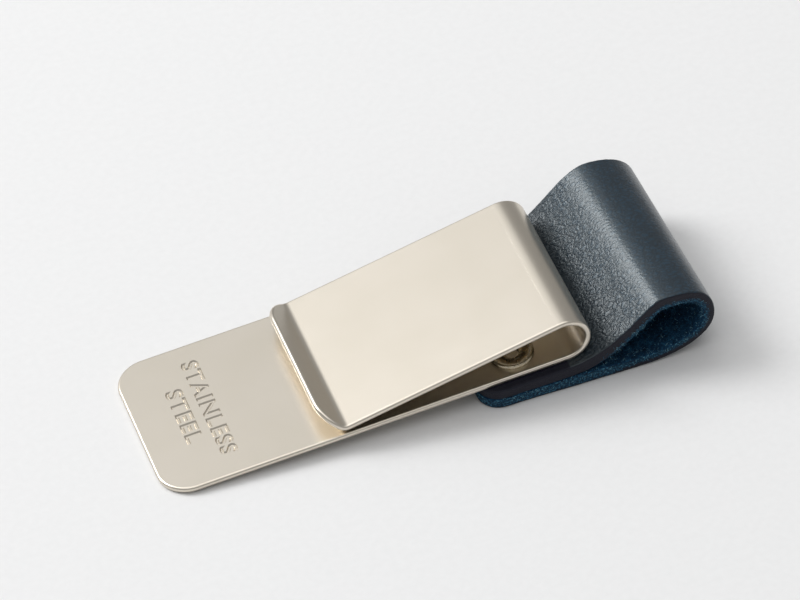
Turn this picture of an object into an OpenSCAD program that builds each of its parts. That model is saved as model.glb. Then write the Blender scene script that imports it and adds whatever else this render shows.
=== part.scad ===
// Pen holder clip. One strip of stainless sheet is bent into a flat base plate, a rear bend and a
// spring leaf with a turned-up lip. A leather strap, folded into a pen loop, is held under the
// plate by two tubular rivets. The clip lies on a table: the plate's tip and the strap's underside
// touch it, so the plate rises towards the rear by a small lie angle.
// Frame: +X from the tip to the pen loop, +Y across the clip, +Z up. The origin is on the table at
// the middle of the length and of the width.

/* [Sheet] */
// Thickness of the stainless sheet
sheet_t = 0.65; // [0.5:0.05:0.7]
// Width of the sheet strip
clip_w = 20; // [18:1:24]
// Length of the flat base plate, from its tip to the rear bend
plate_l = 44.7; // [40:0.1:50]
// Radius of the base plate's two tip corners
tip_r = 3.5; // [2:0.5:5]
// Inside radius of the rear bend
bend_r = 2.2; // [2.1:0.1:2.6]

/* [Spring leaf] */
// Slope of the leaf down to the plate, in degrees
leaf_slope = 9.3; // [9:0.1:9.5]
// Length of the leaf's flat stretch
leaf_l = 24.2; // [22:0.2:24.2]
// Radius of the nose, on its upper side
nose_r = 0.85; // [0.6:0.05:1.2]
// Rise of the lip above the plate's own plane, in degrees
lip_rise = 40; // [30:1:50]
// Length of the lip's flat stretch
lip_l = 2.35; // [2.35:0.05:3]
// Radius of the lip's two corners
lip_r = 2.3; // [1.5:0.1:2.3]

/* [Leather strap] */
// Thickness of the leather round the pen loop
leather_t = 1.3; // [1:0.05:1.5]
// Thickness of each tail, which the rivets press thinner
tail_t = 1.15; // [1:0.05:1.2]
// Width of the strap
strap_w = 22; // [22:0.5:26]
// Distance from the plate's tip to the ends of the strap's two tails
tail_start = 34.7; // [33:0.1:36]
// Radius of the tails' corners
tail_r = 2.5; // [1.5:0.5:4]
// Length of the pen loop behind the tails
loop_l = 14.1; // [13.6:0.1:15]
// Height of the pen loop above the table
loop_h = 9.6; // [9:0.1:11]

/* [Rivets] */
// Distance from the plate's tip to the rivets
rivet_x = 39.5; // [39:0.1:40]
// Distance between the two rivets, across the clip
rivet_pitch = 13.7; // [12:0.1:14]
// Radius of the rivet's dished head
head_r = 2.4; // [2:0.1:2.6]
// Height of the head's rim above the plate
head_h = 0.45; // [0.35:0.05:0.6]
// Outer radius of the rivet's shank
shank_r = 1.15; // [1:0.05:1.3]
// Radius of the hole through the rivet
bore_r = 0.7; // [0.5:0.05:0.8]

/* [Hidden] */
$fn = 64;
fit = 0.03;                 // running room round a shank or a cap
bend_end = 0.4;             // straight end of the rear bend, at the top
slit = 0.1;                 // free line between that end and the leaf that swings on it
neck_gap = 0.4;             // free line between the tails and the loop that flexes on them
lap = 0.02;                 // overlap that joins a straight end to its bend
layer_gap = 0.02;           // room between the two tails at their ends, where they meet
far = 100;                  // longer than any part, for cutting shapes

lie = atan((2 * tail_t + layer_gap) / tail_start);   // angle between base plate and table
bend_outer = bend_r + sheet_t;
fold = leaf_slope + lip_rise;                           // full turn of the nose
neck_x = plate_l + 1.3;                                 // middle of the free line in the strap
loop_rear = neck_x + loop_l;                            // rearmost middle line of the loop's wall
overall_l = loop_rear + leather_t / 2 + sheet_t * sin(lie);

// The cap sits in the strap's underside. Its lowest edge clears the table by cap_lift.
cap_t = 0.5;
cap_lift = 0.05;
socket_depth = 0.25;
cap_bottom = -rivet_x * tan(lie) + head_r * tan(lie) + cap_lift;

steps = 14;                 // straight pieces in each curve of the loop

// ---- frames -------------------------------------------------------------------------------

// Moves parts drawn from the plate's tip to the middle of the length.
module on_table() {
    translate([sheet_t * sin(lie) - overall_l / 2, 0, 0]) children();
}

// The plate's own frame: x along the plate from its tip, z up from its underside.
module plate_frame() {
    on_table() rotate([0, -lie, 0]) children();
}

// The leaf's own frame: the rear bend's centre, turned so that the leaf runs along -x.
module leaf_frame() {
    plate_frame() translate([plate_l, 0, bend_outer]) rotate([0, -leaf_slope, 0]) children();
}

// Draws a side view, x and z, to a width across the clip.
module across(width) {
    rotate([90, 0, 0]) linear_extrude(width, center = true) children();
}

// ---- side-view and plan shapes ----------------------------------------------------------------

// Part of a ring between two angles less than 180 degrees apart on each side of the middle.
module ring_part(inner, outer, from, to) {
    middle = (from + to) / 2;
    intersection() {
        difference() {
            circle(outer);
            circle(inner);
        }
        polygon([[0, 0], for (a = [from, (from + middle) / 2, middle, (middle + to) / 2, to])
                 4 * outer * [cos(a), sin(a)]]);
    }
}

// A strip along +x whose end at x = 0 has two round corners.
module round_ended_strip(length, width, corner) {
    translate([corner, -width / 2]) square([length - corner, width]);
    translate([0, corner - width / 2]) square([corner, width - 2 * corner]);
    for (side = [-1, 1]) translate([corner, side * (width / 2 - corner)]) circle(corner);
}

// ---- sheet -------------------------------------------------------------------------------------

module rivet_places() {
    for (side = [-1, 1]) translate([rivet_x, side * rivet_pitch / 2, 0]) children();
}

module base_plate() {
    color("silver") plate_frame() difference() {
        linear_extrude(sheet_t) round_ended_strip(plate_l, clip_w, tip_r);
        rivet_places() translate([0, 0, -1]) cylinder(r = shank_r + fit, h = sheet_t + 2);
    }
}

module rear_bend() {
    color("darkgray") plate_frame() translate([plate_l, 0, bend_outer]) across(clip_w) {
        ring_part(bend_r, bend_outer, -90, 90 + leaf_slope);
        rotate(leaf_slope) translate([-bend_end, bend_r]) square([bend_end + lap, sheet_t]);
    }
}

module spring_leaf() {
    color("gainsboro") leaf_frame() across(clip_w)
        translate([-leaf_l, bend_r]) square([leaf_l - bend_end - slit, sheet_t]);
}

// What is cut away to leave two round corners on the end at x = 0 of a strip along +x.
module corner_waste(width, corner) {
    for (side = [-1, 1]) translate([corner, side * (width / 2 - corner)]) difference() {
        translate([-corner - 1, (side - 1) / 2 * (corner + 1)]) square(corner + 1);
        circle(corner);
    }
}

// The nose turns the sheet upwards, and the short lip with its two round corners runs on from it.
module turned_lip() {
    color("gray") leaf_frame() translate([-leaf_l, 0, bend_outer + nose_r]) difference() {
        across(clip_w) {
            ring_part(nose_r, nose_r + sheet_t, -90 - fold, -90);
            rotate(-fold) translate([-lip_l, -nose_r - sheet_t]) square([lip_l + lap, sheet_t]);
        }
        rotate([0, fold, 0]) translate([-lip_l, 0, -nose_r - sheet_t - 1])
            linear_extrude(sheet_t + 2) corner_waste(clip_w, lip_r);
    }
}

// ---- rivets --------------------------------------------------------------------------------------

// A tubular rivet: a dished head on the plate, and a shank down into the cap's socket.
module rivet(side) {
    rim = 0.3;
    dish_floor = 0.12;
    shank_end = cap_bottom + cap_t - socket_depth;
    color("dimgray") plate_frame() translate([rivet_x, side * rivet_pitch / 2, 0])
        rotate_extrude() polygon([
            [bore_r, shank_end], [shank_r, shank_end],
            [shank_r, sheet_t], [head_r, sheet_t],
            [head_r, sheet_t + head_h / 2], [head_r - rim / 2, sheet_t + head_h],
            [head_r - rim, sheet_t + head_h], [head_r - 2 * rim, sheet_t + head_h / 2],
            [bore_r + rim, sheet_t + dish_floor], [bore_r, sheet_t]]);
}

module rivet_cap(side) {
    color("dimgray") plate_frame() translate([rivet_x, side * rivet_pitch / 2, cap_bottom])
        rotate_extrude() polygon([
            [0, 0], [head_r, 0], [head_r, cap_t], [shank_r + fit, cap_t],
            [shank_r + fit, cap_t - socket_depth], [0, cap_t - socket_depth]]);
}

// ---- leather strap ---------------------------------------------------------------------------------

// Everything on the tails' side of the free line in the strap.
module tails_side() {
    on_table() translate([neck_x - neck_gap / 2 - far, -far / 2, -far / 2]) cube(far);
}

module tail_holes() {
    plate_frame() rivet_places() translate([0, 0, -far / 2]) cylinder(r = shank_r + fit, h = far);
}

module tail_plan() {
    linear_extrude(tail_t) round_ended_strip(far / 2, strap_w, tail_r);
}

// The upper tail lies against the plate, grain side up.
module upper_tail() {
    color("navy") difference() {
        intersection() {
            plate_frame() translate([tail_start, 0, -tail_t]) tail_plan();
            tails_side();
        }
        tail_holes();
    }
}

// The lower tail lies flat on the table, with a pocket round each cap.
module lower_tail() {
    color("midnightblue") difference() {
        intersection() {
            on_table() translate([tail_start, 0, 0]) tail_plan();
            tails_side();
        }
        tail_holes();
        plate_frame() rivet_places() translate([0, 0, cap_bottom - far])
            cylinder(r = head_r + fit, h = far + cap_t);
    }
}

function bezier(p, t) = pow(1 - t, 3) * p[0] + 3 * pow(1 - t, 2) * t * p[1]
                      + 3 * (1 - t) * pow(t, 2) * p[2] + pow(t, 3) * p[3];
function bezier_slope(p, t) = pow(1 - t, 2) * (p[1] - p[0]) + 2 * (1 - t) * t * (p[2] - p[1])
                            + pow(t, 2) * (p[3] - p[2]);
function left_normal(v) = [-v[1], v[0]] / norm(v);

// The middle line of the strap's wall: up the ramp to the top, round the rear, and along the floor.
loop_start = neck_x + neck_gap / 2;
half_t = leather_t / 2;
start_z = loop_start * tan(lie) - half_t / cos(lie);
top_x = neck_x + 0.66 * loop_l;
top_z = loop_h - half_t;
rear_z = 0.56 * loop_h;
floor_x = neck_x + 0.41 * loop_l;

ramp = [[loop_start, start_z], [loop_start + 2.8, start_z + 2.8 * tan(lie)],
        [top_x - 2.6, top_z], [top_x, top_z]];
shoulder = [[top_x, top_z], [top_x + 0.18 * loop_l, top_z],
            [loop_rear, top_z - 1.1], [loop_rear, rear_z]];
heel = [[loop_rear, rear_z], [loop_rear, rear_z - 2.9],
        [floor_x + 4.7, half_t], [floor_x, half_t]];

// The wall's two faces are the middle line moved sideways by half the leather's thickness.
function wall(side) = concat(
    [for (part = [ramp, shoulder, heel]) for (i = [0:steps - 1])
        bezier(part, i / steps) + side * half_t * left_normal(bezier_slope(part, i / steps))],
    [[floor_x, half_t - side * half_t], [loop_start, half_t - side * half_t]]);
function backwards(list) = [for (i = [len(list) - 1:-1:0]) list[i]];

module pen_loop() {
    color("navy") on_table() across(strap_w) polygon(concat(wall(1), backwards(wall(-1))));
}

// ---- assembly ----------------------------------------------------------------------------------------

base_plate();
rear_bend();
spring_leaf();
turned_lip();
rivet(-1);  // near_rivet
rivet(1);  // far_rivet
rivet_cap(-1);  // near_rivet_cap
rivet_cap(1);  // far_rivet_cap
upper_tail();
lower_tail();
pen_loop();
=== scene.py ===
import math

import bmesh
import bpy
import numpy as np
from mathutils import Matrix, Vector, noise


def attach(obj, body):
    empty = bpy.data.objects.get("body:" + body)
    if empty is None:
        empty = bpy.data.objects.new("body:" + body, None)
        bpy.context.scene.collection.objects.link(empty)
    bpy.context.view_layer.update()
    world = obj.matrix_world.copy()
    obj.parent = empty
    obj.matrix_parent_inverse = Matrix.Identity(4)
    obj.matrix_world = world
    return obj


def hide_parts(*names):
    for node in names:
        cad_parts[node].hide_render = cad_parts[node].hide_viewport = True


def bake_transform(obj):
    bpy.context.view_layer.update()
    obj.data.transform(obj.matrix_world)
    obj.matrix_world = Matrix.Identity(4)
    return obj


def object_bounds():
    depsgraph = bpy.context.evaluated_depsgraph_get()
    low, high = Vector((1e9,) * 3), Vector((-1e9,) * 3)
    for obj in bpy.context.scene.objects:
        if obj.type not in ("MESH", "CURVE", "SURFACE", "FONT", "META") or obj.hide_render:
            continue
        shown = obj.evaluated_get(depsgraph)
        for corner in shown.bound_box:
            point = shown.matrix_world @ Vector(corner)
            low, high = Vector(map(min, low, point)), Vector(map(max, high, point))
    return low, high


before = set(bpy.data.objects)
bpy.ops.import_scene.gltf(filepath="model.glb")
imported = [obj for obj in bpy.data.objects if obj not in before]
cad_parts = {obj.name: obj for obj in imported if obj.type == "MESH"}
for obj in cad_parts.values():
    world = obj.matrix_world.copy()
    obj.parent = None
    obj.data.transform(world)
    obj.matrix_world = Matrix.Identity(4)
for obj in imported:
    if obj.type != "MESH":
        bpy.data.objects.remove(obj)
cad_low, cad_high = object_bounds()

# ---- sizes, in millimetres, the same as the part's own ------------------------------------------

MM = 0.001                  # metres in a millimetre

SHEET_T = 0.65              # stainless sheet
CLIP_W = 20.0
PLATE_L = 44.7
TIP_R = 3.5
BEND_R = 2.2                # inside the rear bend
LEAF_SLOPE = math.radians(9.3)
LEAF_L = 24.2
NOSE_R = 0.85
LIP_RISE = math.radians(40.0)
LIP_L = 2.35
LIP_R = 3.3                 # the lip's corners start right at its fold
SHEET_EDGE_R = 0.26         # tumbled edge of the sheet

STRAP_W = 22.0
TAIL_T = 1.15
TAIL_START = 34.7
TAIL_R = 2.5
LAYER_GAP = 0.02
NECK_X = PLATE_L + 1.3
STRAP_EDGE_R = 0.22         # burnished edge of the leather
STRAP_REST_T = 1.3          # thickness that the strap's blank is drawn with

RIVET_X = 39.5
RIVET_PITCH = 13.7
HEAD_R = 2.4
HEAD_H = 0.45
SHANK_R = 1.15
BORE_R = 0.7
CAP_T = 0.5
CAP_LIFT = 0.05

LIE = math.atan((2 * TAIL_T + LAYER_GAP) / TAIL_START)    # base plate against the table
TIP_X = cad_low.x / MM + SHEET_T * math.sin(LIE)          # the plate's tip, on the table
CAP_BOTTOM = (HEAD_R - RIVET_X) * math.tan(LIE) + CAP_LIFT

MARK_DEPTH = 0.15           # how deep the two stamped words go
STAMP_LEAN = 0.050          # how far the stamp's walls lean, in parts of the letters' size
STAMP_INSET = 0.018         # how far its letters' outlines are drawn in, in the same parts
STAMP_BODY = 0.1            # half the height of its upright walls, in the same parts
STAMP_SPACING = 1.1         # between letters, in parts of the font's own spacing
STAMP_AREA = (2.0, 12.0)    # the stamp lies between these along the plate,
STAMP_MARGIN = 1.0          # and at least this far from its long edges
# Each stamped word: its start and end across the plate, and its baseline and height along it.
STAMP_WORDS = (("STAINLESS", 7.45, -7.0, 7.1, 1.9), ("STEEL", 4.2, -3.9, 4.3, 1.9))
CUT_SUPPORT = 0.012         # a supporting row this close to a cut end
SEAM = 0.25                 # a seam between two lengths of sheet lies this far out on the flat
BEND_STEP = math.radians(3.0)      # the rear bend turns this much at each row,
FOLD_STEP = math.radians(4.0)      # and the lip's fold this much
FOLD_SUPPORT = 0.06         # a supporting row this far outside a bend
LEVEL_WITHIN = 1e-4         # a point this close to a face's height lies on it
UPRIGHT_FROM = 0.999        # a face whose normal is nearer than this to upright is level


def on_table(points):
    """Points drawn from the plate's tip, lying flat, to the frame in metres."""
    return (np.asarray(points, float) + [TIP_X, 0, 0]) * MM


def on_plate(points):
    """Points in the plate's own frame, z up from its underside, to the frame in metres."""
    x, y, z = np.asarray(points, float).T
    return on_table(np.stack([x * math.cos(LIE) - z * math.sin(LIE), y,
                              x * math.sin(LIE) + z * math.cos(LIE)], 1))


# ---- blanks: a flat strip with round corners and round edges, cut across where it will bend -----

def strip_outline(length, width, start_r, end_r, inset, corner_steps):
    """The outline of a strip along +x, moved inwards, as many points at every inset."""
    corners = ((start_r, -1, -1, 270), (start_r, -1, 1, 180), (end_r, 1, 1, 90), (end_r, 1, -1, 0))
    points = []
    for radius, end, side, turn in corners:
        x = length - radius if end > 0 else radius
        y = side * (width / 2 - radius)
        for step in range(corner_steps + 1):
            a = math.radians(turn - 90 * step / corner_steps)
            points.append((x + (radius - inset) * math.cos(a), y + (radius - inset) * math.sin(a)))
    return points


def edge_levels(thickness, edge_r, steps, support=0.03):
    """(inset, height) of the rings round a strip's edge, from the upper face to the lower one."""
    top = [(edge_r + support, thickness / 2)]
    for step in range(steps + 1):
        a = math.pi / 2 * step / steps
        top.append((edge_r - edge_r * math.sin(a), thickness / 2 - edge_r + edge_r * math.cos(a)))
    return top + [(inset, -height) for inset, height in reversed(top)]


def make_blank(length, width, start_r, end_r, thickness, edge_r, edge_steps=5, corner_steps=14):
    """A bmesh of the strip: x along it, y across it, z through its thickness."""
    bm = bmesh.new()
    rings = []
    for inset, height in edge_levels(thickness, edge_r, edge_steps):
        outline = strip_outline(length, width, start_r, end_r, inset, corner_steps)
        rings.append([bm.verts.new((x, y, height)) for x, y in outline])
    count = len(rings[0])
    for upper, lower in zip(rings, rings[1:]):
        for i in range(count):
            j = (i + 1) % count
            bm.faces.new((upper[i], upper[j], lower[j], lower[i]))
    bm.faces.new(rings[0])
    bm.faces.new(rings[-1])
    bmesh.ops.recalc_face_normals(bm, faces=bm.faces)
    return bm


def cut_across(bm, stations, axis=0):
    """Adds an edge across the strip at each station, so that it can bend there."""
    normal = Vector((0, 0, 0))
    normal[axis] = 1
    for station in stations:
        bmesh.ops.bisect_plane(bm, geom=bm.verts[:] + bm.edges[:] + bm.faces[:],
                               plane_co=normal * station, plane_no=normal, dist=1e-5)


def length_of(bm, start, end):
    """A copy of the strip between two stations, with its cut ends closed."""
    piece = bm.copy()
    for station, side in ((start, -1), (end, 1)):
        if station is None:
            continue
        bmesh.ops.bisect_plane(piece, geom=piece.verts[:] + piece.edges[:] + piece.faces[:],
                               plane_co=(station, 0, 0), plane_no=(side, 0, 0), dist=1e-5,
                               clear_outer=True)
        rim = [e for e in piece.edges if e.is_boundary]
        for face in bmesh.ops.contextual_create(piece, geom=rim)["faces"]:
            face.smooth = False
        # A row close to the cut keeps the long faces' shading flat right up to it.
        cut_across(piece, (station - side * CUT_SUPPORT,))
    bmesh.ops.recalc_face_normals(piece, faces=piece.faces)
    return piece


def mesh_object(name, mesh, *materials):
    piece = bpy.data.objects.new(name, mesh)
    bpy.context.scene.collection.objects.link(piece)
    for material in materials:
        mesh.materials.append(material)
    return piece


def mesh_points(mesh):
    co = np.zeros(len(mesh.vertices) * 3)
    mesh.vertices.foreach_get("co", co)
    return co.reshape(-1, 3)


def place_points(mesh, points):
    mesh.vertices.foreach_set("co", np.asarray(points, float).ravel())
    mesh.update()


def add_attribute(mesh, name, values):
    mesh.attributes.new(name, "FLOAT", "POINT").data.foreach_set("value", values)


def apply_modifiers(piece):
    """Replaces the piece's mesh with what its modifiers make of it."""
    shape = bpy.data.meshes.new_from_object(
        piece.evaluated_get(bpy.context.evaluated_depsgraph_get()))
    piece.modifiers.clear()
    piece.data = shape


def cut_away(piece, cutter_name, cutter_mesh, overlaps_itself):
    """Takes the cutter's solid out of the piece."""
    cutter = mesh_object(cutter_name, cutter_mesh)
    cut = piece.modifiers.new(cutter_name, "BOOLEAN")
    cut.object = cutter
    cut.operation = "DIFFERENCE"
    cut.solver = "EXACT"
    cut.use_self = overlaps_itself
    apply_modifiers(piece)
    bpy.data.objects.remove(cutter)


# ---- materials ----------------------------------------------------------------------------------

def colour(code):
    """An sRGB hex colour as the linear values that a shader takes."""
    channels = [int(code[i:i + 2], 16) / 255 for i in (1, 3, 5)]
    return [c / 12.92 if c <= 0.04045 else ((c + 0.055) / 1.055) ** 2.4 for c in channels] + [1.0]


def add_node(tree, kind, settings=None, **inputs):
    """One node, with its settings and its inputs. An input is a value or another node's socket.
    The setting "stops" is a colour ramp's list of (position, linear colour)."""
    node = tree.nodes.new(kind)
    for key, value in (settings or {}).items():
        if key != "stops":
            setattr(node, key, value)
            continue
        elements = node.color_ramp.elements
        while len(elements) < len(value):
            elements.new(0.5)
        for element, (position, tone) in zip(elements, value):
            element.position = position
            element.color = tone
    for key, value in inputs.items():
        key = key.replace("_", " ")
        socket = node.inputs[int(key[2:])] if key.startswith("in") else node.inputs[key]
        if isinstance(value, bpy.types.NodeSocket):
            tree.links.new(value, socket)
        else:
            socket.default_value = value
    return node


def new_material(name):
    material = bpy.data.materials.new(name)
    material.use_nodes = True
    tree = material.node_tree
    tree.nodes.clear()
    return material, tree


def finish_material(tree, shader):
    add_node(tree, "ShaderNodeOutputMaterial", Surface=shader.outputs["BSDF"])


def grey(value):
    return (value, value, value, 1.0)


def satin_stainless():
    """Stainless sheet, fine bead-blasted and tumbled: it gives the eye a warm silver with a soft,
    even sheen, faint clouds where the blasting was uneven, and no mirror image."""
    material, tree = new_material("satin_stainless_sheet")
    where = add_node(tree, "ShaderNodeTexCoord").outputs["Object"]
    # Blasting leaves pits of about 0.05 mm; they are drawn at 0.12 mm so that they show.
    pits = add_node(tree, "ShaderNodeTexNoise", Vector=where, Scale=1 / (0.12 * MM),
                    Detail=3.0, Roughness=0.6)
    clouds = add_node(tree, "ShaderNodeTexNoise", Vector=where, Scale=1 / (6 * MM),
                      Detail=2.0, Roughness=0.5)
    # A few hair scratches from handling: 60 and 2600 to the metre, so 17 mm long and 0.4 mm wide.
    stretched = add_node(tree, "ShaderNodeMapping", Vector=where, Scale=(60.0, 2600.0, 60.0),
                         Rotation=(0.0, 0.0, 0.35))
    scratches = add_node(tree, "ShaderNodeTexNoise", Vector=stretched.outputs["Vector"], Scale=1.0,
                         Detail=2.0, Roughness=0.7)
    scratch_mask = add_node(tree, "ShaderNodeValToRGB",
                            {"stops": [(0.62, grey(0.0)), (0.72, grey(1.0))]},
                            Fac=scratches.outputs["Fac"]).outputs["Color"]
    cloudy = add_node(tree, "ShaderNodeValToRGB",
                      {"stops": [(0.3, grey(0.312)), (0.7, grey(0.322))]},
                      Fac=clouds.outputs["Fac"]).outputs["Color"]
    rough = add_node(tree, "ShaderNodeMath", {"operation": "MULTIPLY_ADD"},
                     in0=scratch_mask, in1=0.015, in2=cloudy)
    bump = add_node(tree, "ShaderNodeBump", Strength=0.10, Distance=0.02 * MM,
                    Height=pits.outputs["Fac"])
    tint = add_node(tree, "ShaderNodeValToRGB",
                    {"stops": [(0.3, colour("#dad2c4")), (0.7, colour("#dcd4c7"))]},
                    Fac=clouds.outputs["Fac"]).outputs["Color"]
    shader = add_node(tree, "ShaderNodeBsdfPrincipled", Base_Color=tint, Metallic=1.0,
                      Roughness=rough.outputs["Value"], Normal=bump.outputs["Normal"])
    finish_material(tree, shader)
    return material


def antique_nickel():
    """Nickel-plated brass tube rivet: darker and glossier than the sheet, with a trace of yellow.
    Its steps and bore are darkened with painted shade."""
    material, tree = new_material("antique_nickel_rivet")
    where = add_node(tree, "ShaderNodeTexCoord").outputs["Object"]
    wear = add_node(tree, "ShaderNodeTexNoise", Vector=where, Scale=1 / (0.6 * MM),
                    Detail=3.0, Roughness=0.5)
    # Painted shade: the steps below the head's rim and the bore are mixed towards a dark colour,
    # for the shade that falls in them.
    hollow = add_node(tree, "ShaderNodeAttribute", {"attribute_name": "hollow"}).outputs["Fac"]
    worn = add_node(tree, "ShaderNodeValToRGB",
                    {"stops": [(0.35, colour("#b3a890")), (0.7, colour("#c9bfaa"))]},
                    Fac=wear.outputs["Fac"]).outputs["Color"]
    # The second colour here is the painted shade's.
    step_shaded_tone = add_node(tree, "ShaderNodeMix", {"data_type": "RGBA"}, Factor=hollow,
                       in6=worn, in7=colour("#857860"))
    rough = add_node(tree, "ShaderNodeValToRGB",
                     {"stops": [(0.3, grey(0.24)), (0.7, grey(0.30))]},
                     Fac=wear.outputs["Fac"]).outputs["Color"]
    shader = add_node(tree, "ShaderNodeBsdfPrincipled", Base_Color=step_shaded_tone.outputs[2], Metallic=1.0,
                      Roughness=rough)
    finish_material(tree, shader)
    return material


# Each point's place on the flat strap, in metres along, across and through it: the patterns are
# drawn there, so that they bend with the leather.
STRAP_PLACE = {"attribute_name": "strap_place"}


def navy_grain():
    """Navy vegetable-tanned cowhide, waxed: it gives the eye a deep blue-black with a network of
    fine creases, closest where the strap is bent, under a broad waxy sheen."""
    material, tree = new_material("navy_grain_leather")
    where = add_node(tree, "ShaderNodeAttribute", STRAP_PLACE).outputs["Vector"]
    strain_and_shade = add_node(tree, "ShaderNodeAttribute", {"attribute_name": "crease"}).outputs["Fac"]
    warp = add_node(tree, "ShaderNodeTexNoise", Vector=where, Scale=1 / (0.8 * MM), Detail=3.0)
    nudge = add_node(tree, "ShaderNodeVectorMath", {"operation": "MULTIPLY_ADD"},
                     in0=warp.outputs["Color"], in1=(0.6 * MM, 0.6 * MM, 0.0), in2=where)
    # The cells are flattened on to the surface, and a little longer along the strap than across it.
    cells = add_node(tree, "ShaderNodeMapping", Vector=nudge.outputs["Vector"],
                     Scale=(0.6, 1.0, 0.0))
    # Grain cells of cowhide are 0.2 to 0.6 mm across.
    network = add_node(tree, "ShaderNodeTexVoronoi", {"feature": "DISTANCE_TO_EDGE"},
                       Vector=cells.outputs["Vector"], Scale=1 / (0.42 * MM), Randomness=1.0)
    fine = add_node(tree, "ShaderNodeTexVoronoi", {"feature": "DISTANCE_TO_EDGE"},
                    Vector=cells.outputs["Vector"], Scale=1 / (0.22 * MM), Randomness=1.0)
    pores = add_node(tree, "ShaderNodeTexNoise", Vector=where, Scale=1 / (0.16 * MM), Detail=3.0,
                     Roughness=0.6)
    wide = add_node(tree, "ShaderNodeValToRGB",
                    {"stops": [(0.0, grey(0.0)), (0.3, grey(1.0))]},
                    Fac=network.outputs["Distance"]).outputs["Color"]
    narrow = add_node(tree, "ShaderNodeValToRGB",
                      {"stops": [(0.0, grey(0.0)), (0.3, grey(1.0))]},
                      Fac=fine.outputs["Distance"]).outputs["Color"]
    both = add_node(tree, "ShaderNodeMix", {"data_type": "FLOAT"}, Factor=0.3, A=wide, B=narrow)
    height = add_node(tree, "ShaderNodeMath", {"operation": "MULTIPLY_ADD"},
                      in0=pores.outputs["Fac"], in1=0.5, in2=both.outputs[0])
    depth = add_node(tree, "ShaderNodeMapRange", Value=strain_and_shade, To_Min=0.12, To_Max=1.0)
    bump = add_node(tree, "ShaderNodeBump", Strength=depth.outputs["Result"], Distance=0.09 * MM,
                    Height=height.outputs["Value"])
    # The wax on top fills the creases in part, so it follows them less.
    wax = add_node(tree, "ShaderNodeBump", Strength=depth.outputs["Result"], Distance=0.045 * MM,
                   Height=both.outputs[0])
    clouds = add_node(tree, "ShaderNodeTexNoise", Vector=where, Scale=1 / (5 * MM), Detail=3.0)
    dye = add_node(tree, "ShaderNodeValToRGB",
                   {"stops": [(0.3, colour("#102a3b")), (0.7, colour("#173447"))]},
                   Fac=clouds.outputs["Fac"]).outputs["Color"]
    # Painted shade: the dye is darkened in the creases, and far more at the ramp's foot where the
    # strain is greatest, for the shade there under the metal bend.
    clear_of_foot_shade = add_node(tree, "ShaderNodeMapRange", Value=strain_and_shade, From_Min=0.6, From_Max=1.0,
                      To_Min=1.0, To_Max=0.15)
    # 1 where the dye shows unshaded, 0 in the creases and at the ramp's foot, which get painted
    # shade.
    bare = add_node(tree, "ShaderNodeMath", {"operation": "MULTIPLY"}, in0=both.outputs[0],
                    in1=clear_of_foot_shade.outputs["Result"])
    # The dark colour here is the painted shade's.
    shaded_dye = add_node(tree, "ShaderNodeMix", {"data_type": "RGBA"}, Factor=bare.outputs["Value"],
                    in6=colour("#0b1620"), in7=dye)
    rough = add_node(tree, "ShaderNodeMapRange", Value=pores.outputs["Fac"],
                     To_Min=0.36, To_Max=0.46)
    shader = add_node(tree, "ShaderNodeBsdfPrincipled", Base_Color=shaded_dye.outputs[2],
                      Roughness=rough.outputs["Result"], IOR=1.5, Normal=bump.outputs["Normal"],
                      Specular_Tint=colour("#e4f7fb"), Coat_Weight=0.55, Coat_Roughness=0.27,
                      Coat_Normal=wax.outputs["Normal"])
    finish_material(tree, shader)
    return material


def navy_flesh():
    """The flesh side of the strap: dyed blue through, rough and fibrous like suede. Its tone
    follows the
    bump: painted light on the tips of its fibres, and painted shade, near black, between them."""
    material, tree = new_material("navy_flesh_leather")
    where = add_node(tree, "ShaderNodeAttribute", STRAP_PLACE).outputs["Vector"]
    drawn = add_node(tree, "ShaderNodeMapping", Vector=where, Scale=(1.0, 1.5, 1.0),
                     Rotation=(0.0, 0.0, 0.5))
    # Fibre bundles on split cowhide are 0.1 to 0.3 mm wide.
    fibres = add_node(tree, "ShaderNodeTexNoise", Vector=drawn.outputs["Vector"],
                      Scale=1 / (0.3 * MM), Detail=5.0, Roughness=0.7, Distortion=0.6)
    clumps = add_node(tree, "ShaderNodeTexNoise", Vector=where, Scale=1 / (1.2 * MM), Detail=2.0)
    blend = add_node(tree, "ShaderNodeMix", {"data_type": "FLOAT"}, Factor=0.35,
                     A=fibres.outputs["Fac"], B=clumps.outputs["Fac"])
    # Painted light and shade: the dye ramp reads the same noise as the bump, so the raised fibres
    # are paler and the hollows between them near black.
    dye = add_node(tree, "ShaderNodeValToRGB",
                   {"stops": [(0.38, colour("#061a2c")), (0.52, colour("#0e3654")),
                              (0.66, colour("#2b6383"))]},
                   Fac=blend.outputs[0]).outputs["Color"]
    bump = add_node(tree, "ShaderNodeBump", Strength=0.9, Distance=0.15 * MM,
                    Height=blend.outputs[0])
    shader = add_node(tree, "ShaderNodeBsdfPrincipled", Base_Color=dye, Roughness=0.95, IOR=1.45,
                      Specular_IOR_Level=0.25, Sheen_Weight=0.08, Sheen_Tint=colour("#3f86ad"),
                      Normal=bump.outputs["Normal"])
    finish_material(tree, shader)
    return material


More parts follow.
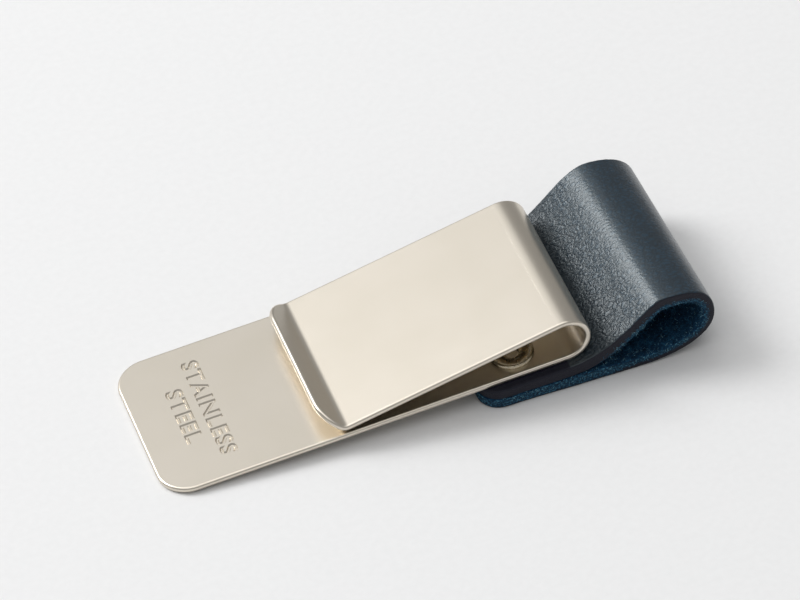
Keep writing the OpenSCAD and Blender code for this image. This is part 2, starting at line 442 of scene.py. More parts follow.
def navy_edge():
    """The strap's cut edge: a smooth, dark burnished band under the grain, and loose blue-green
    fibre towards the flesh. The attribute "burnish" says how much of the edge is burnished."""
    material, tree = new_material("navy_cut_edge")
    where = add_node(tree, "ShaderNodeAttribute", STRAP_PLACE).outputs["Vector"]
    through = add_node(tree, "ShaderNodeSeparateXYZ", Vector=where).outputs["Z"]
    share = add_node(tree, "ShaderNodeAttribute", {"attribute_name": "burnish"}).outputs["Fac"]
    ragged = add_node(tree, "ShaderNodeTexNoise", Vector=where, Scale=1 / (0.5 * MM), Detail=4.0,
                      Roughness=0.65)
    fray = add_node(tree, "ShaderNodeTexNoise", Vector=where, Scale=1 / (0.22 * MM), Detail=4.0,
                    Roughness=0.7)
    # 0 at the flesh face and 1 at the grain face, raised by the share and made ragged.
    level = add_node(tree, "ShaderNodeMath", {"operation": "MULTIPLY_ADD"},
                     in0=through, in1=1 / (STRAP_REST_T * MM), in2=share)
    wave = add_node(tree, "ShaderNodeMath", {"operation": "MULTIPLY_ADD"},
                    in0=ragged.outputs["Fac"], in1=0.7, in2=level.outputs["Value"])
    burnish = add_node(tree, "ShaderNodeMapRange", Value=wave.outputs["Value"],
                       From_Min=1.27, From_Max=1.43)
    loose = add_node(tree, "ShaderNodeValToRGB",
                     {"stops": [(0.40, colour("#0a1826")), (0.54, colour("#15405a")),
                                (0.68, colour("#5f97ad"))]},
                     Fac=fray.outputs["Fac"]).outputs["Color"]
    dye = add_node(tree, "ShaderNodeMix", {"data_type": "RGBA"}, Factor=burnish.outputs["Result"],
                   in6=loose, in7=colour("#0f1120"))
    rough = add_node(tree, "ShaderNodeMapRange", Value=burnish.outputs["Result"],
                     To_Min=0.92, To_Max=0.48)
    bump = add_node(tree, "ShaderNodeBump", Strength=0.7, Distance=0.1 * MM,
                    Height=fray.outputs["Fac"])
    shader = add_node(tree, "ShaderNodeBsdfPrincipled", Base_Color=dye.outputs[2],
                      Roughness=rough.outputs["Result"], IOR=1.47, Specular_IOR_Level=0.3,
                      Normal=bump.outputs["Normal"])
    finish_material(tree, shader)
    return material


def loose_fibre():
    """Single fibres that stand off the flesh side, dyed through, their tone varying at random."""
    material, tree = new_material("loose_leather_fibre")
    where = add_node(tree, "ShaderNodeTexCoord").outputs["Object"]
    tone = add_node(tree, "ShaderNodeTexNoise", Vector=where, Scale=1 / (0.4 * MM), Detail=2.0)
    dye = add_node(tree, "ShaderNodeValToRGB",
                   {"stops": [(0.38, colour("#0c2a42")), (0.52, colour("#256080")),
                              (0.66, colour("#8cbccb"))]},
                   Fac=tone.outputs["Fac"]).outputs["Color"]
    shader = add_node(tree, "ShaderNodeBsdfPrincipled", Base_Color=dye, Roughness=0.9, IOR=1.45)
    finish_material(tree, shader)
    return material


def white_table():
    """Matt white board that the clip lies on, with the faint tooth of paper."""
    material, tree = new_material("matt_white_board")
    where = add_node(tree, "ShaderNodeTexCoord").outputs["Object"]
    tooth = add_node(tree, "ShaderNodeTexNoise", Vector=where, Scale=1 / (0.8 * MM), Detail=3.0)
    bump = add_node(tree, "ShaderNodeBump", Strength=0.12, Distance=0.05 * MM,
                    Height=tooth.outputs["Fac"])
    tone = add_node(tree, "ShaderNodeValToRGB",
                    {"stops": [(0.3, grey(0.80)), (0.7, grey(0.82))]},
                    Fac=tooth.outputs["Fac"]).outputs["Color"]
    shader = add_node(tree, "ShaderNodeBsdfPrincipled", Base_Color=tone, Roughness=0.9,
                      Normal=bump.outputs["Normal"])
    finish_material(tree, shader)
    return material


STAINLESS = satin_stainless()
NICKEL = antique_nickel()
GRAIN = navy_grain()
FLESH = navy_flesh()
EDGE = navy_edge()
FIBRE = loose_fibre()

# ---- stainless strip: plate, rear bend, leaf and lip --------------------------------------------

BEND_TURN = math.pi + LEAF_SLOPE
FOLD = LEAF_SLOPE + LIP_RISE
# Each leg of the strip's middle line is (length, how far it turns to the left).
SHEET_LEGS = [(PLATE_L, 0.0), ((BEND_R + SHEET_T / 2) * BEND_TURN, BEND_TURN), (LEAF_L, 0.0),
              ((NOSE_R + SHEET_T / 2) * FOLD, -FOLD), (LIP_L, 0.0)]
SHEET_STARTS = np.concatenate([[0.0], np.cumsum([length for length, _ in SHEET_LEGS])])
SHEET_LENGTH = SHEET_STARTS[-1]


def along_sheet(station):
    """Middle line of the bent strip in the plate's frame: x, z and heading at each station."""
    x, z, heading = 0.0, SHEET_T / 2, 0.0
    out = np.zeros((len(station), 3))
    for (length, turn), start in zip(SHEET_LEGS, SHEET_STARTS):
        last = start + length >= SHEET_LENGTH - 1e-9
        here = (station >= start - 1e-9) & ((station < start + length) | last)
        run = station[here] - start
        reach = np.append(run, length)
        if turn:
            radius = length / turn
            angle = heading + turn * reach / length
            xs = x + radius * (np.sin(angle) - math.sin(heading))
            zs = z + radius * (math.cos(heading) - np.cos(angle))
        else:
            angle = np.full(len(reach), heading)
            xs = x + reach * math.cos(heading)
            zs = z + reach * math.sin(heading)
        out[here] = np.stack([xs, zs, angle], 1)[:-1]
        x, z, heading = xs[-1], zs[-1], angle[-1]
    return out


def bend_sheet(points):
    """Points of the flat strip to their places on the bent one, in the frame, in metres."""
    x, z, heading = along_sheet(points[:, 0]).T
    bent = np.stack([x - points[:, 2] * np.sin(heading), points[:, 1],
                     z + points[:, 2] * np.cos(heading)], 1)
    return on_plate(bent)


def sheet_stations():
    """Where the strip is cut across: closely in its two bends, and just outside them."""
    stations = []
    for leg, step in ((1, BEND_STEP), (3, FOLD_STEP)):
        start, end = SHEET_STARTS[leg], SHEET_STARTS[leg + 1]
        count = math.ceil(abs(SHEET_LEGS[leg][1]) / step)
        stations += [start + (end - start) * i / count for i in range(count + 1)]
        stations += [start - FOLD_SUPPORT, end + FOLD_SUPPORT]
    return stations


def stamped_word(word, start, end, baseline, cap_height):
    """A cutter for one word on the plate: it reads across the clip, from +y to -y. Its walls lean
    outwards from the stamp's floor up to the plate's face."""
    font = bpy.data.curves.new("stamp_" + word.lower(), "FONT")
    font.body = word
    font.space_character = STAMP_SPACING
    font.extrude = STAMP_BODY
    font.bevel_depth = STAMP_LEAN
    font.offset = -STAMP_INSET
    font.bevel_resolution = 0
    font.resolution_u = 6
    solid = bpy.data.objects.new(font.name, font)
    bpy.context.scene.collection.objects.link(solid)
    bpy.context.view_layer.update()
    mesh = bpy.data.meshes.new_from_object(solid)
    bpy.data.objects.remove(solid)
    bm = bmesh.new()
    bm.from_mesh(mesh)
    bmesh.ops.remove_doubles(bm, verts=bm.verts, dist=1e-5)
    bmesh.ops.recalc_face_normals(bm, faces=bm.faces)
    low = Vector(map(min, zip(*(v.co for v in bm.verts))))
    high = Vector(map(max, zip(*(v.co for v in bm.verts))))
    for v in bm.verts:
        along = (v.co.x - low.x) / (high.x - low.x) * (start - end)
        up = (v.co.y - low.y) / (high.y - low.y) * cap_height
        # The lower chamfer spans the stamp's depth; the rest of the cutter stands over the plate.
        rise = (v.co.z - low.z) / STAMP_LEAN * MARK_DEPTH
        v.co = Vector((baseline + up, start - along, SHEET_T / 2 - MARK_DEPTH + rise))
    bm.to_mesh(mesh)
    bm.free()
    return mesh


def stamp(plate):
    """Presses the two words of a plain material mark into the plate's upper face."""
    for word, start, end, baseline, cap_height in STAMP_WORDS:
        word_solid = stamped_word(word, start, end, baseline, cap_height)
        cut_away(plate, "stamp_cutter", word_solid, overlaps_itself=True)


def flat_sheet(blank, name, start, end):
    """One length of the flat strip as a piece of its own, not bent yet."""
    mesh = bpy.data.meshes.new(name)
    length_of(blank, start, end).to_mesh(mesh)
    return mesh_object(name, mesh, STAINLESS)


def bend_piece(piece, *nodes):
    place_points(piece.data, bend_sheet(mesh_points(piece.data)))
    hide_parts(*nodes)


def flat_faces(mesh):
    """Shades every face of the plate flat, the stamp's too, but not those on its round edge."""
    for face in mesh.polygons:
        level = [abs(mesh.vertices[i].co.z) for i in face.vertices]
        near_edge = min(level) < SHEET_T / 2 - LEVEL_WITHIN and abs(face.normal.z) < UPRIGHT_FROM
        stamped = (abs(face.center.y) < CLIP_W / 2 - STAMP_MARGIN
                   and STAMP_AREA[0] < face.center.x < STAMP_AREA[1])
        face.use_smooth = near_edge and not stamped


sheet_blank = make_blank(SHEET_LENGTH, CLIP_W, TIP_R, LIP_R, SHEET_T, SHEET_EDGE_R)
for blank_face in sheet_blank.faces:
    blank_face.smooth = True
cut_across(sheet_blank, sheet_stations())
BEND_FROM = SHEET_STARTS[1] - SEAM
BEND_TO = SHEET_STARTS[2] + SEAM

plate = flat_sheet(sheet_blank, "plate", None, BEND_FROM)
stamp(plate)
flat_faces(plate.data)
bend_piece(plate, "base_plate")
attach(plate, "clip")
leaf = flat_sheet(sheet_blank, "leaf_with_lip", BEND_TO, None)
bend_piece(leaf, "spring_leaf", "turned_lip")
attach(leaf, "leaf")
bend = flat_sheet(sheet_blank, "spring_bend", BEND_FROM, BEND_TO)
bend_piece(bend, "rear_bend")
bend_ends = bend_sheet(np.array([[BEND_FROM, 0, 0], [BEND_TO, 0, 0]]))
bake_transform(bend)

# ---- rivets -------------------------------------------------------------------------------------

RIVET_STEPS = 72
SHADE_FROM, SHADE_TO = SHEET_T + 0.12, SHEET_T + 0.3     # painted shade: full below, gone above
BRIGHT_RIM = 0.1            # the painted shade stops this far in from the head's rim
RIM_R = 0.09                # rounding of the head's corners
CAP_EDGE_R = 0.05           # and of the cap's


def turned_piece(name, profile, side, node):
    """A solid turned round a rivet's axis, from its closed outline of (radius, height)."""
    bm = bmesh.new()
    rings = []
    for i in range(RIVET_STEPS):
        a = 2 * math.pi * i / RIVET_STEPS
        rings.append([bm.verts.new((r * math.cos(a), r * math.sin(a), z)) for r, z in profile])
    for i, ring in enumerate(rings):
        following = rings[(i + 1) % RIVET_STEPS]
        for j in range(len(profile)):
            k = (j + 1) % len(profile)
            face = bm.faces.new((ring[j], ring[k], following[k], following[j]))
            face.smooth = True
    bmesh.ops.remove_doubles(bm, verts=bm.verts, dist=1e-6)
    bmesh.ops.recalc_face_normals(bm, faces=bm.faces)
    mesh = bpy.data.meshes.new(name)
    bm.to_mesh(mesh)
    # Painted shade darkens the steps below the head's rim, and the bore.
    out, height = np.hypot(*mesh_points(mesh)[:, :2].T), mesh_points(mesh)[:, 2]
    hollow = np.interp(height, [SHADE_FROM, SHADE_TO], [1.0, 0.0])
    add_attribute(mesh, "hollow", hollow * (out < HEAD_R - BRIGHT_RIM) * (height > 0))
    centre = [RIVET_X, side * RIVET_PITCH / 2, 0]
    place_points(mesh, on_plate(mesh_points(mesh) + centre))
    piece = mesh_object(name, mesh, NICKEL)
    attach(piece, "clip")
    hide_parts(node)
    return piece


def rounded(profile, radius, steps=3, most=0.45):
    """The outline with its corners rounded off, each over no more than this share of a side."""
    out = []
    count = len(profile)
    for i, corner in enumerate(profile):
        corner = Vector(corner)
        before, after = Vector(profile[i - 1]) - corner, Vector(profile[(i + 1) % count]) - corner
        cut = min(radius, before.length * most, after.length * most)
        first, last = corner + before.normalized() * cut, corner + after.normalized() * cut
        for step in range(steps + 1):
            t = step / steps
            out.append(tuple(first.lerp(corner, t).lerp(corner.lerp(last, t), t)))
    return out


# The head is spun over the sheet: a rolled rim, a dished floor with one step, and a raised lip
# round the hole. The shank stands in a socket in the cap.
CAP_TOP = CAP_BOTTOM + CAP_T
SOCKET_FLOOR = CAP_TOP - 0.25
SOCKET_R = SHANK_R + 0.03
CAP_CHAMFER = 0.12
RIM_TOP, RIM_SIDE = SHEET_T + HEAD_H, SHEET_T + 0.26
STEP_TOP, DISH, LIP_TOP, LIP_FOOT = SHEET_T + 0.2, SHEET_T + 0.14, SHEET_T + 0.24, SHEET_T + 0.1
RIVET_PROFILE = [(BORE_R, SOCKET_FLOOR), (SHANK_R, SOCKET_FLOOR), (SHANK_R, SHEET_T),
                 (HEAD_R, SHEET_T), (HEAD_R, RIM_SIDE), (HEAD_R - 0.1, RIM_TOP),
                 (HEAD_R - 0.36, RIM_TOP), (HEAD_R - 0.52, STEP_TOP), (HEAD_R - 0.8, DISH),
                 (BORE_R + 0.55, DISH), (BORE_R + 0.36, LIP_TOP), (BORE_R + 0.1, LIP_TOP),
                 (BORE_R, LIP_FOOT)]
CAP_PROFILE = [(0, CAP_BOTTOM), (HEAD_R - CAP_CHAMFER, CAP_BOTTOM),
               (HEAD_R, CAP_BOTTOM + CAP_CHAMFER), (HEAD_R, CAP_TOP), (SOCKET_R, CAP_TOP),
               (SOCKET_R, SOCKET_FLOOR), (0, SOCKET_FLOOR)]

for label, side in (("near", -1), ("far", 1)):
    turned_piece(label + "_tube_rivet", rounded(RIVET_PROFILE, RIM_R), side, label + "_rivet")
    turned_piece(label + "_cap", rounded(CAP_PROFILE, CAP_EDGE_R), side, label + "_rivet_cap")

# ---- leather strap ------------------------------------------------------------------------------

# The grain face of the loop in a side view drawn from the plate's tip. The strap was folded a
# little askew, so its two edges differ: how far the ramp leaves the plate straight, the top of the
# loop and how full it is before and after the top, and the rear and how full it is above it.
NEAR_EDGE = dict(leave=4.58, top=(54.84, 8.96), before_top=1.35, after_top=1.38,
                 rear=(60.84, 4.99), above_rear=4.60)
FAR_EDGE = dict(leave=3.16, top=(54.40, 9.68), before_top=2.70, after_top=0.60,
                rear=(60.42, 4.85), above_rear=5.20)
RAMP_FROM = 45.0             # where the strap leaves the plate
BELOW_REAR = 3.1             # how full the loop is below its rear,
HEEL_REACH = 5.4             # and where it comes down to the table
FLOOR_FROM = 51.87           # where the loop's underside meets the table
CURVE_STEPS = 60
EASE_STEPS = 15              # points on each side that a sudden bend is eased over

# How thick the leather is where it isn't pressed against the plate.
RAMP_T, TOP_T, SHOULDER_T, REAR_T, FLOOR_T = 1.42, 1.62, 1.36, 1.24, 1.25
NECK_PRESSED = 0.98          # the two necks fill this share of the gap that they share

TAIL_STEP = 1.0              # rows along the tails and across the strap,
LOOP_STEP = 0.35             # and along the loop
EDGE_ROWS = (0.45, 0.65, 0.85)       # and heights of those along the cut edge
TRIMMED = 0.04               # how far the knife cut inside the strap's full width,
EDGE_WAVER = 0.05            # how far it wandered, and how far the edge frays
WANDER_SCALE, FRAY_SCALE, FRAY_THROUGH = 0.35, 2.2, 3.0      # how closely they vary, per mm
WANDER_SLICE = 1.7           # which slice of the noise the wander is read from
WAVER_REACH = 0.3            # only points this close to the edge move

PUNCH_STEPS = 48
HOLE_PLAY = 0.03             # between a rivet and the leather round it
# Heights of the punches' ends: over and under the upper tail, over and under the lower one.
OVER_UPPER, UNDER_UPPER, OVER_LOWER, UNDER_LOWER = 0.4, -1.7, -0.9, -3.4
SHADED_MARGIN = 2.05              # painted shade: the dark edge finish covers this much of the upper tail's grain, along its long edges beside the plate


def bezier(p, t):
    t = np.asarray(t, float)[:, None]
    p = np.asarray(p, float)
    return ((1 - t) ** 3 * p[0] + 3 * (1 - t) ** 2 * t * p[1] + 3 * (1 - t) * t * t * p[2]
            + t ** 3 * p[3])


def grain_line(edge):
    """The strap's grain face along one edge: up the plate's underside, round the loop, along the
    table and back to the tails' ends."""
    leave = (RAMP_FROM, RAMP_FROM * math.tan(LIE))
    top_x, top_z = edge["top"]
    rear_x, rear_z = edge["rear"]
    ramp_curve = [leave, (leave[0] + edge["leave"], leave[1] + edge["leave"] * math.tan(LIE)),
                  (top_x - edge["before_top"], top_z), (top_x, top_z)]
    shoulder = [(top_x, top_z), (top_x + edge["after_top"], top_z),
                (rear_x, rear_z + edge["above_rear"]), (rear_x, rear_z)]
    heel = [(rear_x, rear_z), (rear_x, rear_z - BELOW_REAR), (FLOOR_FROM + HEEL_REACH, 0.0),
            (FLOOR_FROM, 0.0)]
    t = np.arange(CURVE_STEPS) / CURVE_STEPS
    start = (TAIL_START, TAIL_START * math.tan(LIE))
    straight = [np.array(start) * (1 - k) + np.array(leave) * k for k in t]
    floor = [(FLOOR_FROM * (1 - k) + TAIL_START * k, 0.0) for k in np.append(t, 1.0)]
    line = np.vstack([straight, bezier(ramp_curve, t), bezier(shoulder, t), bezier(heel, t), floor])
    return softened(line)


def softened(line):
    """The line with its sudden bends eased: each point becomes a mean of those close to it."""
    weight = np.hanning(2 * EASE_STEPS + 1)
    weight /= weight.sum()
    out = line.copy()
    inner = slice(EASE_STEPS, -EASE_STEPS)
    for k in (0, 1):
        out[inner, k] = np.convolve(line[:, k], weight, "valid")
    return out


NEAR_LINE, FAR_LINE = grain_line(NEAR_EDGE), grain_line(FAR_EDGE)
MEAN_LINE = (NEAR_LINE + FAR_LINE) / 2
STRAP_S = np.concatenate([[0.0], np.cumsum(np.linalg.norm(np.diff(MEAN_LINE, axis=0), axis=1))])
STRAP_LENGTH = STRAP_S[-1]
LEG_S = STRAP_S[::CURVE_STEPS]       # the stations where the five legs start, and the end


def strap_thickness(station):
    """Pressed thin at the tails' ends, full at the neck and on top of the loop."""
    upper_neck = LEG_S[1] + 1.0
    top_s, rear_s, floor_s = LEG_S[2], LEG_S[3], LEG_S[4]
    lower_neck = STRAP_LENGTH - (NECK_X - TAIL_START)
    at = [0.0, upper_neck, top_s - 3.0, top_s, rear_s - 2.0, rear_s, floor_s, lower_neck,
          STRAP_LENGTH]
    neck_t = NECK_X * math.tan(LIE) / 2 - LAYER_GAP / 2
    pressed_t = neck_t * NECK_PRESSED
    thick = [TAIL_T, pressed_t, RAMP_T, TOP_T, SHOULDER_T, REAR_T, FLOOR_T, pressed_t, TAIL_T]
    return np.interp(station, at, thick)


def bend_strap(points):
    """Points of the flat strap to the folded one. z is from 0, flesh, to STRAP_REST_T, grain."""
    station = np.clip(points[:, 0], 0, STRAP_LENGTH)
    far_share = np.clip(points[:, 1] / STRAP_W + 0.5, 0, 1)[:, None]
    lines = []
    for line in (NEAR_LINE, FAR_LINE):
        slope = np.gradient(line, STRAP_S, axis=0)
        lines.append([np.stack([np.interp(station, STRAP_S, line[:, k]) for k in (0, 1)], 1),
                      np.stack([np.interp(station, STRAP_S, slope[:, k]) for k in (0, 1)], 1)])
    place = lines[0][0] * (1 - far_share) + lines[1][0] * far_share
    slope = lines[0][1] * (1 - far_share) + lines[1][1] * far_share
    slope /= np.linalg.norm(slope, axis=1)[:, None]
    inward = (STRAP_REST_T - points[:, 2]) / STRAP_REST_T * strap_thickness(station)
    x = place[:, 0] + slope[:, 1] * inward
    z = place[:, 1] - slope[:, 0] * inward
    return np.stack([x, points[:, 1], z], 1)


def strap_blank():
    """The flat strap, closely cut across where it will bend, with its flesh side at z = 0."""
    bm = make_blank(STRAP_LENGTH, STRAP_W, TAIL_R, TAIL_R, STRAP_REST_T, STRAP_EDGE_R,
                    edge_steps=4, corner_steps=10)
    for v in bm.verts:
        v.co.z += STRAP_REST_T / 2
    for face in bm.faces:
        face.smooth = True
    loop_from, loop_to = LEG_S[1] - 1.0, LEG_S[4] + 3.0
    cut_across(bm, np.arange(TAIL_STEP, loop_from, TAIL_STEP))
    cut_across(bm, np.arange(loop_from, loop_to, LOOP_STEP))
    cut_across(bm, np.arange(loop_to, STRAP_LENGTH - TAIL_STEP / 2, TAIL_STEP))
    cut_across(bm, TAIL_STEP * np.arange(-10, 11), axis=1)
    # The cut edge gets rows through its thickness too, so that it can be ragged.
    cut_across(bm, EDGE_ROWS, axis=2)
    return bm


def upper_tail_flat(points):
    """Points of the upper tail, from the plate's own frame, back to the flat strap."""
    station = points[:, 0] - TAIL_START / math.cos(LIE)
    height = STRAP_REST_T * (1 + points[:, 2] / strap_thickness(station))
    return np.stack([station, points[:, 1], height], 1)


def lower_tail_flat(points):
    """Points of the lower tail, from the plate's own frame, back to the flat strap."""
    on_floor = on_plate(points) / MM - [TIP_X, 0, 0]
    station = STRAP_LENGTH - (on_floor[:, 0] - TAIL_START)
    height = STRAP_REST_T * (1 - on_floor[:, 2] / strap_thickness(station))
    return np.stack([station, points[:, 1], height], 1)


def punch(bm, profile, side, flatten):
    """Adds a turned cutter round a rivet's axis to bm, laid out on the flat strap."""
    rings = []
    for i in range(PUNCH_STEPS):
        a = 2 * math.pi * i / PUNCH_STEPS
        ring = np.array([(RIVET_X + r * math.cos(a), side * RIVET_PITCH / 2 + r * math.sin(a), z)
                         for r, z in profile])
        rings.append([bm.verts.new(p) for p in flatten(ring)])
    for i, ring in enumerate(rings):
        following = rings[(i + 1) % PUNCH_STEPS]
        for j in range(len(profile) - 1):
            bm.faces.new((ring[j], ring[j + 1], following[j + 1], following[j]))
    bm.faces.new([ring[0] for ring in rings])
    bm.faces.new([ring[-1] for ring in rings])


def punch_holes(strap):
    """Punches the shanks' holes through both tails, and sinks the caps into the lower one."""
    bm = bmesh.new()
    hole_r, cap_r = SHANK_R + HOLE_PLAY, HEAD_R + HOLE_PLAY
    cap_top = CAP_BOTTOM + CAP_T + HOLE_PLAY
    for side in (-1, 1):
        punch(bm, [(hole_r, UNDER_UPPER), (hole_r, OVER_UPPER)], side, upper_tail_flat)
        punch(bm, [(cap_r, UNDER_LOWER), (cap_r, cap_top), (hole_r, cap_top),
                   (hole_r, OVER_LOWER)], side, lower_tail_flat)
    bmesh.ops.recalc_face_normals(bm, faces=bm.faces)
    cutter_mesh = bpy.data.meshes.new("hole_punch")
    bm.to_mesh(cutter_mesh)
    bm.free()
    cut_away(strap, "hole_punch", cutter_mesh, overlaps_itself=False)


def rough_edges(flat, folded):
    """Lets the strap's cut edges wander and fray a little, as a knife leaves them."""
    out = folded.copy()
    for i, (_, y, _) in enumerate(folded):
        along, _, through = flat[i]
        wander = noise.noise(Vector((along * WANDER_SCALE, y * WANDER_SCALE,
                                     WANDER_SLICE))) * EDGE_WAVER
        fray = noise.noise(Vector((along * FRAY_SCALE, y * FRAY_SCALE,
                                   through * FRAY_THROUGH))) * EDGE_WAVER
        edge = max(0.0, (abs(y) - STRAP_W / 2 + WAVER_REACH) / WAVER_REACH)
        out[i, 1] -= math.copysign(edge * (TRIMMED + fray + wander), y)
    return out


strap_mesh = bpy.data.meshes.new("folded_strap")
strap_blank().to_mesh(strap_mesh)
strap = mesh_object("folded_strap", strap_mesh, GRAIN, FLESH, EDGE)
punch_holes(strap)
strap_mesh = strap.data
flat_points = mesh_points(strap_mesh)

# Which face is grain, flesh or cut edge is read from the flat strip. The walls of its holes stand
# upright, well inside its long edges.
hole_within = STRAP_W / 2 - STRAP_EDGE_R - 0.2
grain_above, flesh_below = STRAP_REST_T - STRAP_EDGE_R * 0.6, STRAP_EDGE_R * 0.35
for face in strap_mesh.polygons:
    heights = [strap_mesh.vertices[i].co.z for i in face.vertices]
    inside_hole = abs(face.center.y) < hole_within and abs(face.normal.z) < 0.7
    face.use_smooth = not inside_hole
    # Painted shade: the upper tail's grain along its long edges, beside the plate, gets the dark
    # edge finish instead of the grain's.
    in_shaded_margin = face.center.x < LEG_S[1] - 0.5 and abs(face.center.y) > STRAP_W / 2 - SHADED_MARGIN
    if min(heights) > grain_above and not in_shaded_margin:
        face.material_index = 0
    elif max(heights) < flesh_below:
        face.material_index = 1
    else:
        face.material_index = 2

strap_place = strap_mesh.attributes.new("strap_place", "FLOAT_VECTOR", "POINT")
strap_place.data.foreach_set("vector", (flat_points * MM).ravel())
# Creases are closest on the ramp, where the grain is squeezed, and fade over the loop's top. The
# same values set how much painted shade the dye gets, most at the ramp's foot.
crease = np.interp(flat_points[:, 0],
                   [LEG_S[1], LEG_S[1] + 4, LEG_S[1] + 8, LEG_S[2] - 1, LEG_S[2] + 3, LEG_S[3]],
                   [1.0, 1.0, 0.55, 0.2, 0.14, 0.08])
add_attribute(strap_mesh, "crease", crease)
# The upper tail's edge is burnished right through, the loop's half way, the lower tail's hardly.
burnish = np.interp(flat_points[:, 0],
                    [LEG_S[1] + 1, LEG_S[1] + 5, LEG_S[3], LEG_S[4], LEG_S[4] + 3],
                    [1.0, 0.68, 0.62, 0.45, 0.15])
add_attribute(strap_mesh, "burnish", burnish)
place_points(strap_mesh, on_table(rough_edges(flat_points, bend_strap(flat_points))))

# ---- loose fibres on the flesh side -------------------------------------------------------------

FIBRE_LENGTH = 0.38          # the longest of them
SHORTEST = 0.35              # the shortest, in parts of the longest
FIBRE_R = 0.028
FIBRE_LEAN = 0.9             # how far a fibre leans from the leather's normal, in radians
FIBRE_SIDES, FIBRE_RINGS = 4, 3
FIBRE_SEED = 7
FIBRES_PER_MM2 = 22.0
LOOSE_SHARE = 0.5            # this share of the edge's thickness, from the flesh side, has fibres


def fibre_patch():
    """The parts of the strap that fibres stand on: its flesh side, and the loose half of its edges.
    "fray" says how closely they stand: less so away from the rim, and not at all between the
    two tails."""
    bm = bmesh.new()
    bm.from_mesh(strap_mesh)
    fray = bm.verts.layers.float.new("fray")
    for v in bm.verts:
        along, across, through = flat_points[v.index]
        rim = np.interp(STRAP_W / 2 - abs(across), [0.0, 0.8, 3.0], [1.0, 0.8, 0.3])
        open_loop = np.interp(along, [LEG_S[1] + 2, LEG_S[1] + 4], [0.0, 1.0])
        shut = along > LEG_S[4] + 4 and through < STRAP_REST_T * 0.2 and rim < 0.9
        v[fray] = 0.0 if shut else rim * open_loop
    loose_to = STRAP_REST_T * LOOSE_SHARE
    bare = [f for f in bm.faces
            if f.material_index == 0 or max(flat_points[v.index, 2] for v in f.verts) >= loose_to]
    bmesh.ops.delete(bm, geom=bare, context="FACES")
    mesh = bpy.data.meshes.new("loose_fibres")
    bm.to_mesh(mesh)
    bm.free()
    return mesh_object("loose_fibres", mesh, FIBRE)


def fibre_tree():
    """Strews fibres over a patch, each a thin bent cone with its own length and lean."""
    tree = bpy.data.node_groups.new("strew_fibres", "GeometryNodeTree")
    face = tree.interface
    face.new_socket("Patch", in_out="INPUT", socket_type="NodeSocketGeometry")
    for name, kind in (("Density", "NodeSocketFloat"), ("Length", "NodeSocketFloat"),
                       ("Radius", "NodeSocketFloat"), ("Seed", "NodeSocketInt"),
                       ("Finish", "NodeSocketMaterial")):
        face.new_socket(name, in_out="INPUT", socket_type=kind)
    face.new_socket("Fibres", in_out="OUTPUT", socket_type="NodeSocketGeometry")
    given = tree.nodes.new("NodeGroupInput").outputs
    fray = add_node(tree, "GeometryNodeInputNamedAttribute", {"data_type": "FLOAT"}, Name="fray")
    density = add_node(tree, "ShaderNodeMath", {"operation": "MULTIPLY"},
                       in0=fray.outputs["Attribute"], in1=given["Density"])
    strewn = add_node(tree, "GeometryNodeDistributePointsOnFaces", Mesh=given["Patch"],
                      Density=density.outputs[0], Seed=given["Seed"])
    cone = add_node(tree, "GeometryNodeMeshCone", Vertices=FIBRE_SIDES,
                    Side_Segments=FIBRE_RINGS, Radius_Bottom=given["Radius"],
                    Depth=given["Length"])
    # The cone bends over: it is pushed aside by the square of its height.
    along = add_node(tree, "ShaderNodeSeparateXYZ",
                     Vector=tree.nodes.new("GeometryNodeInputPosition").outputs[0]).outputs["Z"]
    share = add_node(tree, "ShaderNodeMath", {"operation": "DIVIDE"}, in0=along,
                     in1=given["Length"])
    square = add_node(tree, "ShaderNodeMath", {"operation": "MULTIPLY"}, in0=share.outputs[0],
                      in1=share.outputs[0])
    aside = add_node(tree, "ShaderNodeMath", {"operation": "MULTIPLY"}, in0=square.outputs[0],
                     in1=given["Length"])
    push = add_node(tree, "ShaderNodeCombineXYZ", X=aside.outputs[0])
    bent = add_node(tree, "GeometryNodeSetPosition", Geometry=cone.outputs["Mesh"],
                    Offset=push.outputs[0])
    size = add_node(tree, "FunctionNodeRandomValue", {"data_type": "FLOAT"}, in2=SHORTEST,
                    in3=1.0, Seed=given["Seed"])
    placed = add_node(tree, "GeometryNodeInstanceOnPoints", Points=strewn.outputs["Points"],
                      Instance=bent.outputs["Geometry"], Rotation=strewn.outputs["Rotation"],
                      Scale=size.outputs[1])
    lean = add_node(tree, "FunctionNodeRandomValue", {"data_type": "FLOAT_VECTOR"},
                    in0=(-FIBRE_LEAN, -FIBRE_LEAN, 0.0),
                    in1=(FIBRE_LEAN, FIBRE_LEAN, 2 * math.pi), Seed=given["Seed"])
    turned = add_node(tree, "GeometryNodeRotateInstances", Instances=placed.outputs["Instances"],
                      Rotation=lean.outputs[0])
    real = add_node(tree, "GeometryNodeRealizeInstances", Geometry=turned.outputs["Instances"])
    finished = add_node(tree, "GeometryNodeSetMaterial", Geometry=real.outputs["Geometry"],
                        Material=given["Finish"])
    add_node(tree, "NodeGroupOutput", Fibres=finished.outputs["Geometry"])
    return tree


fibres = fibre_patch()
strew = fibres.modifiers.new("strew_fibres", "NODES")
strew.node_group = fibre_tree()
fibre_inputs = {"Density": FIBRES_PER_MM2 / MM ** 2, "Length": FIBRE_LENGTH * MM,
                "Radius": FIBRE_R * MM, "Seed": FIBRE_SEED, "Finish": FIBRE}
for item in strew.node_group.interface.items_tree:
    if item.in_out == "INPUT" and item.name in fibre_inputs:
        strew[item.identifier] = fibre_inputs[item.name]
apply_modifiers(fibres)
# Where the strap lies on the table, no fibre goes below it.
fibre_points = mesh_points(fibres.data)
fibre_points[:, 2] = np.maximum(fibre_points[:, 2], 0.0)
place_points(fibres.data, fibre_points)

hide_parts("upper_tail", "lower_tail", "pen_loop")
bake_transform(strap)
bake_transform(fibres)

# ---- table, light and camera --------------------------------------------------------------------

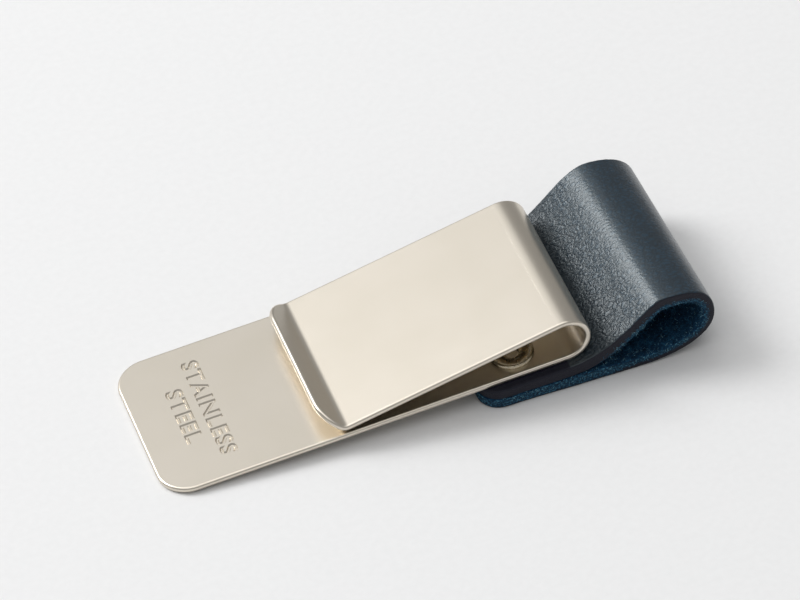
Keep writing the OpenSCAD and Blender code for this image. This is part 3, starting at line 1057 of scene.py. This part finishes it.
TABLE_SIZE = 3.0
TABLE_DROP = 0.02 * MM       # keeps the table's face clear of the strap's
table_mesh = bpy.data.meshes.new("table")
corners = [(x * TABLE_SIZE / 2, y * TABLE_SIZE / 2, -TABLE_DROP)
           for x, y in ((-1, -1), (1, -1), (1, 1), (-1, 1))]
table_mesh.from_pydata(corners, [], [(0, 1, 2, 3)])
table = mesh_object("table", table_mesh, white_table())


def soft_box(name, place, size, radiance, tint):
    """A rectangular studio light, turned to the clip, that looks as bright as radiance says."""
    light = bpy.data.lights.new(name, "AREA")
    light.shape = "RECTANGLE"
    light.size, light.size_y = size
    light.energy = radiance * math.pi * size[0] * size[1]
    light.color = colour(tint)[:3]
    holder = bpy.data.objects.new(name, light)
    bpy.context.scene.collection.objects.link(holder)
    holder.location = place
    holder.rotation_euler = (-Vector(place)).to_track_quat("-Z", "Y").to_euler()


soft_box("back_panel", (-0.42, 0.72, 0.86), (1.45, 1.3), 0.46, "#fbfdff")
soft_box("key_light", (-0.71, 0.59, 0.77), (0.55, 0.55), 9.2, "#ffffff")
soft_box("top_light", (-0.1, 0.0, 1.2), (1.5, 1.2), 0.95, "#ffffff")

ROOM_LIGHT = 0.34            # even light from all round
world = bpy.data.worlds.new("studio")
bpy.context.scene.world = world
world.use_nodes = True
background = world.node_tree.nodes["Background"]
background.inputs["Color"].default_value = grey(1.0)
background.inputs["Strength"].default_value = ROOM_LIGHT

# A long lens from a little over half a metre. The three directions are what lies to the right of
# the camera, below it and ahead of it.
CAMERA_PLACE = (-0.10908, -0.37799, 0.39656)
LOOK_RIGHT = Vector((0.94038, -0.33426, -0.06282))
LOOK_DOWN = Vector((-0.27772, -0.64802, -0.70918))
LOOK_ALONG = Vector((0.19634, 0.68435, -0.70222))
camera_data = bpy.data.cameras.new("camera")
camera_data.lens = 237.3
camera_data.sensor_width = 36.0
camera_data.clip_start = 0.01
camera = bpy.data.objects.new("camera", camera_data)
bpy.context.scene.collection.objects.link(camera)
turn = Matrix((LOOK_RIGHT, -LOOK_DOWN, -LOOK_ALONG)).transposed().to_4x4()
camera.matrix_world = Matrix.Translation(CAMERA_PLACE) @ turn
bpy.context.scene.camera = camera
bpy.context.scene.view_settings.view_transform = "Standard"
